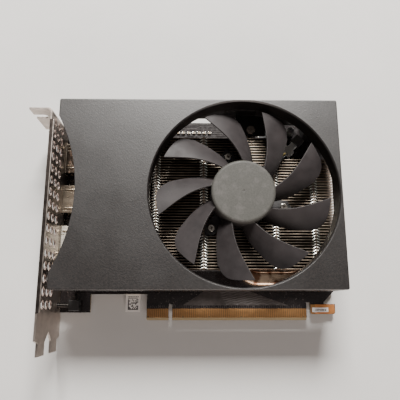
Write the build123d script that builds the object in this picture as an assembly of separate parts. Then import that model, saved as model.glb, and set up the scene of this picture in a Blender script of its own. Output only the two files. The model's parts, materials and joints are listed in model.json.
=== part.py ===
"""Dual-slot graphics card with a single axial fan, built as an assembly of separate pieces.

Card coordinates used below, in millimetres: X runs along the card from the first edge
contact to the tail, Y from the contact edge up to the board's top edge, and Z out of the
board's component face. The card lies flat with its fan upwards, and every piece is moved
to the library origin, the centre of the bounding box's base, when it is written.
"""
from build123d import *
import math
import os

os.makedirs("parts", exist_ok=True)

# Circuit board
BOARD_T = 1.57
BOARD_LEFT = -45.9
BOARD_RIGHT = 100.3
BOARD_TOP = 111.15
BOARD_BOTTOM = 13.5
CONTACT_EDGE_L = 85.0
KEY_X = 11.65
KEY_W = 1.9
KEY_DEPTH = 8.25
CONTACT_PITCH = 1.0
CONTACT_W = 0.7
CONTACT_Y0 = 1.4
CONTACT_Y1 = 5.9
PLATING_T = 0.04
HOOK_X0 = 87.0
HOOK_NECK_X = 94.4
HOOK_TIP_X = 100.4
HOOK_Y0 = 3.1
HOOK_Y1 = 8.3
EAR_RIGHT = -29.8
EAR_BOTTOM = 4.0

# Slot bracket
SHEET_T = 0.9
BRACKET_IN = -46.3
BRACKET_OUT = BRACKET_IN - SHEET_T
BRACKET_LOW_Z = -3.95
BRACKET_HIGH_Z = 34.79
TAB_TOP = 104.65
TAB_TIP_X = -58.0
TONGUE_END = TAB_TOP - 120.05
STRIP_END = TAB_TOP - 112.75
TONGUE_TOP = STRIP_END - 1.3
TONGUE_W = 10.19
SLOT_PITCH = 20.32
LOW_TONGUE_Z = 5.265
TAB_NOTCH_R = 2.21
TAB_NOTCH_X = -53.4
TAB_NOTCH_Z = (5.08, 5.08 + SLOT_PITCH)
VENT_R = 2.15
VENT_PITCH = 6.1
VENT_TOP_Y = 99.35
VENT_ROWS = 16
VENT_COLUMNS_Z = (16.0, 22.1, 28.2)
FLANGE_X = -45.2
FLANGE_Y = (4.2, 98.5)

# Video ports: centre along the board's edge, and mouth width
PORT_MOUTH_X = BRACKET_OUT + 0.1
PORT_Z = (0.6, 6.5)
PORTS = {"upper": (87.4, 17.2), "middle": (64.0, 15.0), "lower": (40.5, 17.2)}

# Cooler
CHIP_X = 44.0
CHIP_Y = 60.0
CHIP_HOLE = 21.6
PACKAGE_T = 1.4
DIE_T = 0.75
BASE_Z0 = PACKAGE_T + DIE_T
BASE_T = 4.0
BASE_Z1 = BASE_Z0 + BASE_T
FIN_TOP = 16.0
FIN_X = (2.8, 98.6)
FIN_Y0 = 25.6
FIN_COUNT = 48
FIN_PITCH = 1.49
FIN_T = 0.3
FIN_CLIP_X = (5.1, 30.0, 67.5, 88.0)
FIN_CLIP_HALF = 2.1
FIN_CLIP_T = 0.5
CORNER_X = 69.5
CORNER_Y = 85.5
PIPE_W = 7.5

# Fan
FAN_X = 49.4
FAN_Y = 62.8
HUB_R = 16.1
HUB_TOP = 30.9
HUB_BOTTOM = 19.0
HUB_WALL = 1.5
BLADE_R = 43.6
BLADE_COUNT = 9
BLADE_PHASE = 36.0
FAN_BASE_Z = (16.1, 17.5)
FAN_BASE_R = 16.5
EAR_R = 22.75
EAR_ANGLES = (-13.5, 106.5, 226.5)
SHAFT_R = 1.5
SHAFT_CLEARANCE = 0.04

# Shroud
SHROUD_X = (-43.4, 97.9)
SHROUD_Y = (14.7, 110.3)
SHROUD_TOP = 33.5
SHROUD_T = 1.8
WALL_T = 1.6
WALL_BOTTOM = 12.0
OPENING_X = 49.5
OPENING_Y = 62.5
OPENING_R = 46.9
DUCT_T = 0.8
DUCT_BOTTOM = 24.0
HOLLOW_X = -114.8
HOLLOW_Y = 61.7
HOLLOW_R = 81.6
POSTS = ((-36.0, 20.2), (-28.0, 105.0), (92.6, 20.2))
FRONT_SCREW = (55.4, 100.2)
SCREW_EAR_HALF = 8.0
EAR_RIB_TOP = 19.4

# Library origin, in card coordinates
ORIGIN = ((TAB_TIP_X + HOOK_TIP_X) / 2, (TONGUE_END + BOARD_TOP) / 2, BRACKET_LOW_Z)


def block(x, y, z):
    """A box given by its (low, high) limits on each axis."""
    centre = Pos((x[0] + x[1]) / 2, (y[0] + y[1]) / 2, (z[0] + z[1]) / 2)
    return centre * Box(x[1] - x[0], y[1] - y[0], z[1] - z[0])


def rod(x, y, radius, z):
    """An upright cylinder between two heights."""
    return Pos(x, y, (z[0] + z[1]) / 2) * Cylinder(radius, z[1] - z[0])


def rod_x(x, y, z, radius):
    """A cylinder along X between two X limits."""
    return Pos((x[0] + x[1]) / 2, y, z) * Rot(0, 90, 0) * Cylinder(radius, x[1] - x[0])


def prism(points, z):
    """A polygon in plan, extruded between two heights."""
    return extrude(Pos(0, 0, z[0]) * Polygon(*points, align=None), amount=z[1] - z[0], dir=(0, 0, 1))


def prism_x(points, x):
    """A polygon in Y and Z, extruded between two X limits."""
    face = Plane.YZ.offset(x[0]) * Polygon(*points, align=None)
    return extrude(face, amount=x[1] - x[0], dir=(1, 0, 0))


def upright_edges_at(part, places):
    """The part's edges along Z that stand at the given places in plan."""
    edges = part.edges().filter_by(Axis.Z)
    return [e for e in edges for x, y in places if math.hypot(e.center().X - x, e.center().Y - y) < 0.05]


def around_fan(radius, angle):
    """A place in plan, in polar form about the fan's axis."""
    turn = math.radians(angle)
    return FAN_X + radius * math.cos(turn), FAN_Y + radius * math.sin(turn)


def save(node, *pieces):
    """Writes one node, a group of one or more solids, in the library frame."""
    solids = [solid for piece in pieces for solid in piece.solids()]
    move = Location((-ORIGIN[0], -ORIGIN[1], -ORIGIN[2]))
    group = Compound([solid.moved(move) for solid in solids])
    group.label = node
    export_step(group, f"parts/{node}.step")


def screw(x, y, seat, head_r, head_h, shank_r, length, up=True):
    """A pan-head screw with a cross recess, its head above the seat or, turned over, below it."""
    head = Cylinder(head_r, head_h, align=(Align.CENTER, Align.CENTER, Align.MIN))
    head = fillet(head.edges().group_by(Axis.Z)[-1], head_h * 0.35)
    shank = Cylinder(shank_r, length, align=(Align.CENTER, Align.CENTER, Align.MAX))
    body = head + shank
    recess = Box(head_r * 1.15, head_r * 0.28, head_h) + Box(head_r * 0.28, head_r * 1.15, head_h)
    body -= Pos(0, 0, head_h) * recess
    turn = Rot(0, 0, 0) if up else Rot(180, 0, 0)
    return Pos(x, y, seat) * turn * body


# ---------------------------------------------------------------- board and its parts

def make_board():
    """The board with its keyed contact edge, retention hook and bracket ear."""
    outline = [
        (BOARD_LEFT, BOARD_TOP), (BOARD_LEFT, EAR_BOTTOM), (EAR_RIGHT, EAR_BOTTOM),
        (EAR_RIGHT, BOARD_BOTTOM), (0, BOARD_BOTTOM), (0, 0.5), (0.5, 0),
        (CONTACT_EDGE_L - 0.5, 0), (CONTACT_EDGE_L, 0.5), (CONTACT_EDGE_L, 9.2), (HOOK_X0, 9.2),
        (HOOK_X0, HOOK_Y0), (HOOK_TIP_X, HOOK_Y0), (HOOK_TIP_X, HOOK_Y1), (HOOK_NECK_X, HOOK_Y1),
        (HOOK_NECK_X, 9.3), (BOARD_RIGHT, 15.2), (BOARD_RIGHT, BOARD_TOP),
    ]
    board = prism(outline, (-BOARD_T, 0))
    board = fillet(upright_edges_at(board, [(HOOK_TIP_X, HOOK_Y0), (HOOK_X0, HOOK_Y0)]), 1.2)
    board -= block((KEY_X, KEY_X + KEY_W), (-1, KEY_DEPTH), (-2, 1))
    bevel_run = CONTACT_Y0 - 0.1
    for face, slope in ((0.0, -0.4), (-BOARD_T, 0.4)):
        wedge = [(-0.01, face), (bevel_run, face), (-0.01, face + slope)]
        board -= prism_x(wedge, (-1, CONTACT_EDGE_L + 1))
    holes = [rod(CHIP_X + sx * CHIP_HOLE, CHIP_Y + sy * CHIP_HOLE, 1.6, (-3, 1))
             for sx in (-1, 1) for sy in (-1, 1)]
    holes += [rod(x, y, 1.5, (-3, 1)) for x, y in POSTS]
    return board - holes


def make_edge_contacts():
    """Gold contacts on both faces of the edge, and the plated hook."""
    short_edge = [0.825 + i * CONTACT_PITCH for i in range(11)]
    long_edge = [KEY_X + KEY_W + 0.725 + i * CONTACT_PITCH for i in range(71)]
    contacts = []
    for index, x in enumerate(short_edge + long_edge):
        start = CONTACT_Y0 + 0.9 if index in (0, 16, 30, 47, 80) else CONTACT_Y0
        width = (x - CONTACT_W / 2, x + CONTACT_W / 2)
        contacts.append(block(width, (start, CONTACT_Y1), (0, PLATING_T)))
        contacts.append(block(width, (start, CONTACT_Y1), (-BOARD_T - PLATING_T, -BOARD_T)))
    plating = block((HOOK_X0 + 0.3, HOOK_TIP_X - 0.3), (HOOK_Y0 + 0.3, HOOK_Y1 - 0.2), (0, PLATING_T))
    plating = fillet(upright_edges_at(plating, [(HOOK_TIP_X - 0.3, HOOK_Y0 + 0.3)]), 1.0)
    return contacts + [plating]


def make_graphics_processor():
    """The chip package on the board and the bare die on it."""
    package = block((CHIP_X - 17.5, CHIP_X + 17.5), (CHIP_Y - 17.5, CHIP_Y + 17.5), (0, PACKAGE_T))
    die = block((CHIP_X - 9, CHIP_X + 9), (CHIP_Y - 7.5, CHIP_Y + 7.5), (PACKAGE_T, BASE_Z0))
    return package, die


MEMORY_T = 1.1
MEMORY = (
    (34.0, 86.5, 14, 12), (50.0, 86.5, 14, 12), (34.0, 33.5, 14, 12),
    (50.0, 33.5, 14, 12), (71.5, 49.0, 12, 14), (71.5, 65.0, 12, 14),
)


def make_memory():
    """Memory chips round the processor, and the soft pads between them and the cooler."""
    chips = []
    pads = []
    for x, y, w, h in MEMORY:
        chips.append(block((x - w / 2, x + w / 2), (y - h / 2, y + h / 2), (0, MEMORY_T)))
        pads.append(block((x - 5, x + 5), (y - 5, y + 5), (MEMORY_T, BASE_Z0)))
    return chips, pads


POWER_STAGE_Y = (30.0, 42.0, 54.0, 66.0, 78.0)


def make_power_stages():
    """Chokes, power transistors and polymer capacitors of the supply stages."""
    chokes = []
    transistors = []
    cans = []
    for y in POWER_STAGE_Y:
        choke = block((-6.5, 0.7), (y - 3.6, y + 3.6), (0, 4.2))
        chokes.append(chamfer(choke.edges().group_by(Axis.Z)[-1], 0.5))
        transistors.append(block((-15.0, -10.0), (y - 3.0, y + 3.0), (0, 1.0)))
    can_places = [(-22.0, y, 3.15) for y in POWER_STAGE_Y] + [(79.8, 104.6, 2.1)]
    for x, y, radius in can_places:
        foot = block((x - radius, x + radius), (y - radius, y + radius), (0, 1.0))
        foot = chamfer(upright_edges_at(foot, [(x + radius, y + radius), (x + radius, y - radius)]), 0.8)
        can = rod(x, y, radius - 0.1, (1.0, 5.9))
        cans.append(foot + fillet(can.edges().group_by(Axis.Z)[-1], 0.4))
    return chokes, transistors, cans


def make_small_parts():
    """Ceramic capacitors on both faces and a few small controller chips."""
    ceramics = [block((x, x + 1.6), (104.2, 105.4), (0, 0.9)) for x in range(12, 36, 3)]
    ceramics += [block((x, x + 1.0), (15.4, 15.9), (0, 0.5)) for x in range(4, 84, 4)]
    ceramics += [block((-8.4, -7.6), (y + 4.2, y + 5.8), (0, 0.8)) for y in POWER_STAGE_Y[:-1]]
    for row in (-1, 0, 1):
        for column in (-1, 0, 1):
            for side in (-1, 1):
                x = CHIP_X + side * 14.6 + row * 2.2
                y = CHIP_Y + column * 2.4
                ceramics.append(block((x - 0.8, x + 0.8), (y - 0.4, y + 0.4), (-BOARD_T - 0.6, -BOARD_T)))
    chips = [
        block((-20.0, -14.0), (94.0, 100.0), (0, 0.9)),
        block((62.0, 67.0), (101.5, 107.5), (0, 1.6)),
        block((-24.5, -21.3), (18.5, 21.0), (0, 0.9)),
    ]
    return ceramics, chips


def make_power_socket():
    """Six-way power socket opening at the board's top edge, with its pins."""
    x0 = 86.2
    z0 = 0.2
    cell = 4.2
    housing = block((x0, x0 + 13.8), (100.6, 110.9), (z0, z0 + 9.9))
    housing = chamfer(housing.edges().filter_by(Axis.Y).group_by(Axis.Z)[-1], 0.5)
    cavities = []
    pins = []
    for column in range(3):
        for row in range(2):
            x = x0 + 2.7 + column * cell
            z = z0 + 2.85 + row * cell
            cavities.append(block((x - 1.85, x + 1.85), (102.6, 112.0), (z - 1.85, z + 1.85)))
            pins.append(block((x - 0.55, x + 0.55), (102.6, 109.4), (z - 0.55, z + 0.55)))
    ledge = block((x0 + 5.4, x0 + 8.4), (106.8, 110.9), (z0 + 9.9, z0 + 11.0))
    return housing - cavities + ledge, pins


# ---------------------------------------------------------------- slot bracket and ports

def make_slot_bracket():
    """Bent sheet bracket: tab, vented face, port cut-outs, stiffening flange and two tongues."""
    profile = [
        (TAB_TIP_X, TAB_TOP), (BRACKET_IN, TAB_TOP), (BRACKET_IN, TONGUE_END),
        (BRACKET_OUT, TONGUE_END), (BRACKET_OUT, TAB_TOP - SHEET_T), (TAB_TIP_X, TAB_TOP - SHEET_T),
    ]
    bracket = prism(profile, (BRACKET_LOW_Z, BRACKET_HIGH_Z))
    bracket = fillet(upright_edges_at(bracket, [(BRACKET_IN, TAB_TOP)]), 2.0)
    bracket = fillet(upright_edges_at(bracket, [(BRACKET_OUT, TAB_TOP - SHEET_T)]), 1.1)

    through = (BRACKET_OUT - 1, BRACKET_IN + 1)
    below = TONGUE_END - 1
    low = (LOW_TONGUE_Z - TONGUE_W / 2, LOW_TONGUE_Z + TONGUE_W / 2)
    high = (low[0] + SLOT_PITCH, low[1] + SLOT_PITCH)
    waist = (low[1] + high[0]) / 2
    cuts = [
        prism_x([(STRIP_END, BRACKET_LOW_Z - 1), (STRIP_END, BRACKET_LOW_Z), (TONGUE_TOP, low[0]),
                 (below, low[0]), (below, BRACKET_LOW_Z - 1)], through),
        prism_x([(STRIP_END, BRACKET_HIGH_Z + 1), (STRIP_END, BRACKET_HIGH_Z), (TONGUE_TOP, high[1]),
                 (below, high[1]), (below, BRACKET_HIGH_Z + 1)], through),
        prism_x([(below, low[1]), (TONGUE_TOP, low[1]), (-5.6, waist - 0.9), (-5.0, waist),
                 (-5.6, waist + 0.9), (TONGUE_TOP, high[0]), (below, high[0])], through),
    ]
    for row in range(VENT_ROWS):
        for z in VENT_COLUMNS_Z:
            cuts.append(rod_x(through, VENT_TOP_Y - row * VENT_PITCH, z, VENT_R))
    for centre, width in PORTS.values():
        cuts.append(block(through, (centre - width / 2 - 0.25, centre + width / 2 + 0.25),
                          (PORT_Z[0] - 0.25, PORT_Z[1] + 0.25)))
    for y in BLOCK_Y:
        cuts.append(rod_x(through, y, BLOCK_SCREW_Z, 1.6))
    for z in TAB_NOTCH_Z:
        notch = block((TAB_TIP_X - 1, TAB_NOTCH_X), (TAB_TOP - 3, TAB_TOP + 1), (z - TAB_NOTCH_R, z + TAB_NOTCH_R))
        end = Pos(TAB_NOTCH_X, TAB_TOP - 1, z) * Rot(90, 0, 0) * Cylinder(TAB_NOTCH_R, 4)
        cuts.append(notch + end)
    bracket -= cuts

    flange = block((BRACKET_IN, FLANGE_X), FLANGE_Y, (BRACKET_HIGH_Z - SHEET_T, BRACKET_HIGH_Z))
    flange = fillet(upright_edges_at(flange, [(FLANGE_X, FLANGE_Y[0]), (FLANGE_X, FLANGE_Y[1])]), 0.9)
    return bracket + flange


BLOCK_Y = (7.6, 98.9)
BLOCK_SCREW_Z = 2.3
BLOCK_X = (-40.4, -34.7)


def make_bracket_fixings():
    """Threaded blocks on the board, and the screws that hold the bracket to them."""
    blocks = []
    screws = []
    for y in BLOCK_Y:
        body = block(BLOCK_X, (y - 2.8, y + 2.8), (0, 4.6))
        body = chamfer(body.edges().group_by(Axis.Z)[-1], 0.4)
        blocks.append(body - rod_x(BLOCK_X, y, BLOCK_SCREW_Z, 1.28))
        fixing = screw(0, 0, 0, 2.4, 1.5, 1.22, 11.0)
        screws.append(Pos(BRACKET_OUT, y, BLOCK_SCREW_Z) * Rot(0, -90, 0) * fixing)
    return blocks, screws


def port_section(centre, width, inset):
    """A port's mouth outline in Y and Z, with its two lower corners bevelled."""
    y0 = centre - width / 2 + inset
    y1 = centre + width / 2 - inset
    z0 = PORT_Z[0] + inset
    z1 = PORT_Z[1] - inset
    return [(y0, z1), (y1, z1), (y1, z0 + 1.7), (y1 - 1.5, z0), (y0 + 1.5, z0), (y0, z0 + 1.7)]


def make_video_port(centre, width):
    """One port: folded metal shell, moulded insert with its tongue, and contacts."""
    back = PORT_MOUTH_X + 12.4
    wall = 0.4
    shell = prism_x(port_section(centre, width, 0), (PORT_MOUTH_X, back))
    shell -= prism_x(port_section(centre, width, wall), (PORT_MOUTH_X - 1, back - wall))
    middle = (PORT_Z[0] + PORT_Z[1]) / 2 + 0.4
    insert = prism_x(port_section(centre, width, wall), (back - 6.0, back - wall))
    half = width / 2 - 2.2
    insert += block((PORT_MOUTH_X + 1.2, back - 5.5), (centre - half, centre + half), (middle - 0.6, middle + 0.6))
    contacts = []
    for i in range(9):
        y = centre + (i - 4) * (2 * half - 1.0) / 8
        for z in ((middle + 0.6, middle + 0.68), (middle - 0.68, middle - 0.6)):
            contacts.append(block((PORT_MOUTH_X + 1.8, back - 6.0), (y - 0.25, y + 0.25), z))
    return shell, insert, contacts


# ---------------------------------------------------------------- cooler

PIPES = (
    [(47.0, 78.0), (47.0, 21.6), (88.0, 21.6), (88.0, 78.0)],
    [(39.0, 42.0), (39.0, 92.6), (16.4, 92.6), (16.4, 42.0)],
)
PIPE_BEND = (13.0, 10.6)
STANDOFFS = [around_fan(EAR_R, angle) for angle in EAR_ANGLES]


def pipe_plan(route, bend):
    """A heat pipe's outline in plan, a constant width along its bent route."""
    line = FilletPolyline(*route, radius=bend)
    return trace(line, line_width=PIPE_W)


def make_cooler_base():
    """Aluminium base, with channels for the heat pipes and a lug for the shroud's screw."""
    top_y = FIN_Y0 + FIN_COUNT * FIN_PITCH
    base = block((8.0, 96.0), (FIN_Y0, top_y), (BASE_Z0, BASE_Z1))
    base -= block((CORNER_X, 97.0), (CORNER_Y, 100.0), (0, 10))
    base += block((FRONT_SCREW[0] - 4, FRONT_SCREW[0] + 4), (top_y, 104.2), (BASE_Z0, BASE_Z1))
    for route, bend in zip(PIPES, PIPE_BEND):
        base -= Pos(0, 0, BASE_Z0 - 1) * extrude(pipe_plan(route, bend), amount=BASE_T + 2)
    holes = [rod(CHIP_X + sx * CHIP_HOLE, CHIP_Y + sy * CHIP_HOLE, 1.28, (0, BASE_Z1 + 1))
             for sx in (-1, 1) for sy in (-1, 1)]
    return base - holes


def make_heat_pipes():
    """Two flattened copper pipes with rounded edges."""
    pipes = []
    for route, bend in zip(PIPES, PIPE_BEND):
        pipe = Pos(0, 0, BASE_Z0) * extrude(pipe_plan(route, bend), amount=BASE_T)
        level = pipe.edges().group_by(Axis.Z)
        pipes.append(fillet(level[-1] + level[0], 1.8))
    return pipes


def make_fin_stack():
    """Thin folded fins with a foot on the base and chevron clips that interlock along the top."""
    half = FIN_CLIP_HALF
    chevron = [(-half, -0.4), (-half, 0.25), (0, 1.2), (half, 0.25), (half, -0.4), (0, 0.55)]
    fins = []
    for index in range(FIN_COUNT):
        y = FIN_Y0 + index * FIN_PITCH
        tail = FIN_X[1] if y < CORNER_Y - FIN_PITCH else CORNER_X
        reach = (y, y + FIN_PITCH - 0.05)
        fin = block((FIN_X[0], tail), (y, y + FIN_T), (BASE_Z1, FIN_TOP))
        fin += block((FIN_X[0], tail), reach, (BASE_Z1, BASE_Z1 + FIN_T))
        for x in FIN_CLIP_X:
            if x < tail:
                clip = [(x + side, y + along) for side, along in chevron]
                fin += prism(clip, (FIN_TOP - FIN_CLIP_T, FIN_TOP))
        for x, y_post in STANDOFFS:
            if abs(y - y_post) < 5:
                fin -= rod(x, y_post, 2.9, (BASE_Z1 - 1, FIN_TOP + 1))
        fins.append(fin)
    return fins


def make_cooler_fixings():
    """Threaded posts on the base for the fan and shroud, and spacers below it."""
    posts = []
    for x, y in STANDOFFS:
        posts.append(rod(x, y, 2.4, (BASE_Z1, FAN_BASE_Z[0])) - rod(x, y, 1.2, (BASE_Z1 + 2, 20)))
    x, y = FRONT_SCREW
    posts.append(rod(x, y, 2.8, (BASE_Z1, 14.9)) - rod(x, y, 1.2, (BASE_Z1 + 1, 20)))
    spacers = []
    for sx in (-1, 1):
        for sy in (-1, 1):
            x = CHIP_X + sx * CHIP_HOLE
            y = CHIP_Y + sy * CHIP_HOLE
            spacers.append(rod(x, y, 2.6, (0, BASE_Z0)) - rod(x, y, 1.4, (-1, BASE_Z0 + 1)))
    return posts, spacers


def make_retention():
    """Cross-shaped spring plate behind the board, its insulating film and four screws."""
    reach = CHIP_HOLE * math.sqrt(2)
    arm = SlotCenterToCenter(2 * reach, 8.0)
    cross = Rot(0, 0, 45) * arm + Rot(0, 0, -45) * arm + RectangleRounded(20, 20, 3)
    cross -= Circle(5.0)
    for sx in (-1, 1):
        for sy in (-1, 1):
            cross -= Pos(sx * CHIP_HOLE, sy * CHIP_HOLE) * Circle(1.5)
    film_z = -BOARD_T - 0.2
    plate_z = film_z - 0.8
    film = Pos(CHIP_X, CHIP_Y, film_z) * extrude(cross, amount=0.2)
    plate = Pos(CHIP_X, CHIP_Y, plate_z) * extrude(cross, amount=0.8)
    head = plate_z - BRACKET_LOW_Z
    screws = [screw(CHIP_X + sx * CHIP_HOLE, CHIP_Y + sy * CHIP_HOLE, plate_z, 2.7, head, 1.22,
                    BASE_Z1 - 0.6 - plate_z, up=False) for sx in (-1, 1) for sy in (-1, 1)]
    return plate, film, screws


# ---------------------------------------------------------------- fan

# Blade outline at radii from root to tip: leading and trailing edge angles, measured from
# the blade's tip corner, and the heights of the two edges
BLADE_SECTIONS = (
    (15.4, -28.5, -47.0, 28.8, 20.6),
    (19.0, -22.8, -43.6, 29.1, 20.9),
    (25.0, -15.8, -37.2, 29.4, 21.6),
    (31.0, -9.6, -31.2, 29.6, 22.4),
    (37.0, -4.3, -26.2, 29.6, 23.2),
    (44.6, 0.6, -19.5, 29.4, 24.0),
)
BLADE_T = 1.2
BLADE_CAMBER = 0.05
TIP_CORNER_R = 8.0
TIP_CORNER_ANGLE = -12.8
TIP_CORNER_SPREAD = 75.0


def blade_section(radius, lead, trail, lead_z, trail_z):
    """A cambered strip between the two edges, standing square to the blade's radius."""
    half = math.radians(lead - trail) / 2
    middle = (lead + trail) / 2
    reach = radius * math.sin(half)
    chord = math.hypot(2 * reach, lead_z - trail_z)
    along = (2 * reach / chord, (lead_z - trail_z) / chord)
    normal = (-along[1], along[0])
    centre_z = (lead_z + trail_z) / 2

    def point(s, offset):
        return (s * chord * along[0] + offset * normal[0],
                centre_z + s * chord * along[1] + offset * normal[1])

    bow = BLADE_CAMBER * chord
    thick = BLADE_T / 2
    upper = ThreePointArc(point(-0.5, thick * 0.6), point(0, bow + thick), point(0.5, thick * 0.6))
    lower = ThreePointArc(point(0.5, -thick * 0.6), point(0, bow - thick), point(-0.5, -thick * 0.6))
    nose = Line(upper @ 1, lower @ 0)
    tail = Line(lower @ 1, upper @ 0)
    face = make_face([upper, nose, lower, tail])
    turn = math.radians(middle)
    out = Vector(math.cos(turn), math.sin(turn), 0)
    across = Vector(-math.sin(turn), math.cos(turn), 0)
    plane = Plane(origin=out * radius * math.cos(half), x_dir=across, z_dir=out * -1)
    if plane.y_dir.Z < 0:
        plane = Plane(origin=plane.origin, x_dir=across, z_dir=out)
    return plane * face


def tip_corner_cut():
    """The waste outside the round that runs from a blade's tip into its trailing edge."""
    reach = 14.0
    outward = math.radians(TIP_CORNER_ANGLE)
    across = math.radians(TIP_CORNER_ANGLE - TIP_CORNER_SPREAD)
    middle = (outward + across) / 2
    centre = ((BLADE_R - TIP_CORNER_R) * math.cos(outward), (BLADE_R - TIP_CORNER_R) * math.sin(outward))
    corners = [centre]
    for angle, length in ((outward, reach), (middle, reach * 1.3), (across, reach)):
        corners.append((centre[0] + length * math.cos(angle), centre[1] + length * math.sin(angle)))
    waste = Polygon(*corners, align=None) - Pos(*centre) * Circle(TIP_CORNER_R)
    return Pos(0, 0, HUB_BOTTOM) * extrude(waste, amount=HUB_TOP - HUB_BOTTOM, dir=(0, 0, 1))


def make_fan_rotor():
    """Hub cup with nine swept blades."""
    cup = Cylinder(HUB_R, HUB_TOP - HUB_BOTTOM, align=(Align.CENTER, Align.CENTER, Align.MIN))
    cup = fillet(cup.edges().group_by(Axis.Z)[-1], 1.5)
    cup -= Cylinder(HUB_R - HUB_WALL, HUB_TOP - HUB_BOTTOM - HUB_WALL,
                    align=(Align.CENTER, Align.CENTER, Align.MIN))
    cup -= Pos(0, 0, HUB_TOP - HUB_BOTTOM) * Cylinder(0.6, 0.3)
    rotor = Pos(0, 0, HUB_BOTTOM) * cup
    blade = loft([blade_section(*section) for section in BLADE_SECTIONS])
    blade = blade & Pos(0, 0, 25) * Cylinder(BLADE_R, 20)
    blade -= tip_corner_cut()
    for index in range(BLADE_COUNT):
        rotor += Rot(0, 0, BLADE_PHASE + index * 360 / BLADE_COUNT) * blade
    return Pos(FAN_X, FAN_Y, 0) * rotor


def make_rotor_inside():
    """Steel yoke, ring magnet and shaft, all fixed in the hub."""
    top = HUB_TOP - HUB_WALL
    yoke = rod(FAN_X, FAN_Y, HUB_R - HUB_WALL, (HUB_BOTTOM + 0.2, top))
    yoke -= rod(FAN_X, FAN_Y, 13.8, (HUB_BOTTOM, top - 0.8))
    yoke -= rod(FAN_X, FAN_Y, SHAFT_R, (HUB_BOTTOM, top + 1))
    magnet = rod(FAN_X, FAN_Y, 13.8, (19.6, 25.4)) - rod(FAN_X, FAN_Y, 12.5, (19, 26))
    shaft = rod(FAN_X, FAN_Y, SHAFT_R, (18.0, top))
    shaft = chamfer(shaft.edges().group_by(Axis.Z)[0], 0.3)
    return yoke, magnet, shaft


def make_fan_base():
    """Round base with three pointed ears and the tube that holds the bearing."""
    thickness = FAN_BASE_Z[1] - FAN_BASE_Z[0]
    plan = Circle(FAN_BASE_R)
    ear = Polygon((10, -3.4), (24.2, -3.4), (27.4, 0), (24.2, 3.4), (10, 3.4), align=None)
    for angle in EAR_ANGLES:
        plan += Rot(0, 0, angle) * ear
    for angle in EAR_ANGLES:
        plan -= Rot(0, 0, angle) * Pos(EAR_R, 0) * Circle(1.35)
    base = Pos(FAN_X, FAN_Y, FAN_BASE_Z[0]) * extrude(plan, amount=thickness)
    tube = rod(FAN_X, FAN_Y, 4.0, (FAN_BASE_Z[1], 26.5)) - rod(FAN_X, FAN_Y, 3.0, (FAN_BASE_Z[1], 27))
    return base + tube


def make_stator():
    """Laminated core with four poles, their windings, and the circuit board below."""
    core = Circle(6.2) + (Circle(12.0) - Circle(10.7))
    arm = Pos(8.5, 0) * Rectangle(5.6, 3.0)
    for index in range(4):
        core += Rot(0, 0, index * 90) * arm
        core -= Rot(0, 0, index * 90 + 45) * Pos(11.4, 0) * Rectangle(3.0, 1.8)
    core -= Circle(4.0)
    laminations = Pos(FAN_X, FAN_Y, 20.2) * extrude(core, amount=4.2)
    coils = []
    for index in range(4):
        coil = Pos(8.3, 0, 22.3) * Box(3.6, 6.0, 6.0)
        coil = fillet(coil.edges().filter_by(Axis.X), 1.2)
        coil -= Pos(8.3, 0, 22.3) * Box(5.0, 3.0, 4.2)
        coils.append(Pos(FAN_X, FAN_Y, 0) * Rot(0, 0, index * 90) * coil)
    board = rod(FAN_X, FAN_Y, 12.4, (17.7, 18.7)) - rod(FAN_X, FAN_Y, 4.0, (17, 19))
    return laminations, coils, board


def make_bearing():
    """Sintered sleeve and the pad that the shaft's end turns on."""
    sleeve = rod(FAN_X, FAN_Y, 3.0, (18.1, 26.3))
    sleeve -= rod(FAN_X, FAN_Y, SHAFT_R + SHAFT_CLEARANCE, (18, 27))
    pad = rod(FAN_X, FAN_Y, 2.9, (FAN_BASE_Z[1], 17.95))
    return sleeve, pad


# Fan lead: the header and the plug lie on the board, in line with the fan's axis
LEAD_ANGLE = 46.4
PLUG_R = (38.6, 49.2)
COLLAR_END_R = 43.4
HEADER_R = (46.8, 52.0)
PLUG_Z = (1.3, 5.1)
WIRE_R = 0.5
WIRE_PITCH = 1.25
WIRES = ("black", "yellow", "green", "blue")


def make_fan_plug():
    """Board header, open towards the fan, and the collared plug pushed into it."""
    place = Pos(FAN_X, FAN_Y, 0) * Rot(0, 0, LEAD_ANGLE)
    header = block(HEADER_R, (-2.7, 2.7), (0, 5.9))
    header -= block((HEADER_R[0] - 1, PLUG_R[1] + 0.1), (-2.0, 2.0), (PLUG_Z[0] - 0.1, PLUG_Z[1] + 0.1))
    plug = block(PLUG_R, (-1.9, 1.9), PLUG_Z)
    plug += block((PLUG_R[0], COLLAR_END_R), (-3.0, 3.0), PLUG_Z)
    plug = chamfer(plug.edges().group_by(Axis.Z)[-1], 0.3)
    for index in range(len(WIRES)):
        lane = (index - 1.5) * WIRE_PITCH
        plug -= rod_x((PLUG_R[0] - 1, PLUG_R[0] + 2.6), lane, WIRE_ENTRY_Z, WIRE_R + 0.03)
    return place * header, place * plug


WIRE_ENTRY_Z = 3.2
WIRE_DROP_R = 35.2
WIRE_BENDS = (8.0, 6.0, 3.0, 1.6)


def wire_route(index):
    """One wire's route: out of the fan's circuit board, over the fins, down into the plug."""
    side = (index - 1.5) * WIRE_PITCH
    stations = ((12.45, 18.15), (16.2, 18.15), (21.5, 17.0), (WIRE_DROP_R, 17.0),
                (WIRE_DROP_R, WIRE_ENTRY_Z), (PLUG_R[0] + 2.5, WIRE_ENTRY_Z))
    turn = math.radians(LEAD_ANGLE)
    return [(FAN_X + r * math.cos(turn) - side * math.sin(turn),
             FAN_Y + r * math.sin(turn) + side * math.cos(turn), z) for r, z in stations]


def make_wire(index):
    """A round wire swept along straight runs joined by tangent arcs."""
    line = FilletPolyline(*wire_route(index), radius=WIRE_BENDS)
    section = Plane(origin=line @ 0, z_dir=line % 0) * Circle(WIRE_R)
    wire = sweep(section, path=line)
    print(f"wire {WIRES[index]}: length {line.length:.1f}")
    return wire


# ---------------------------------------------------------------- shroud

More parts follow.
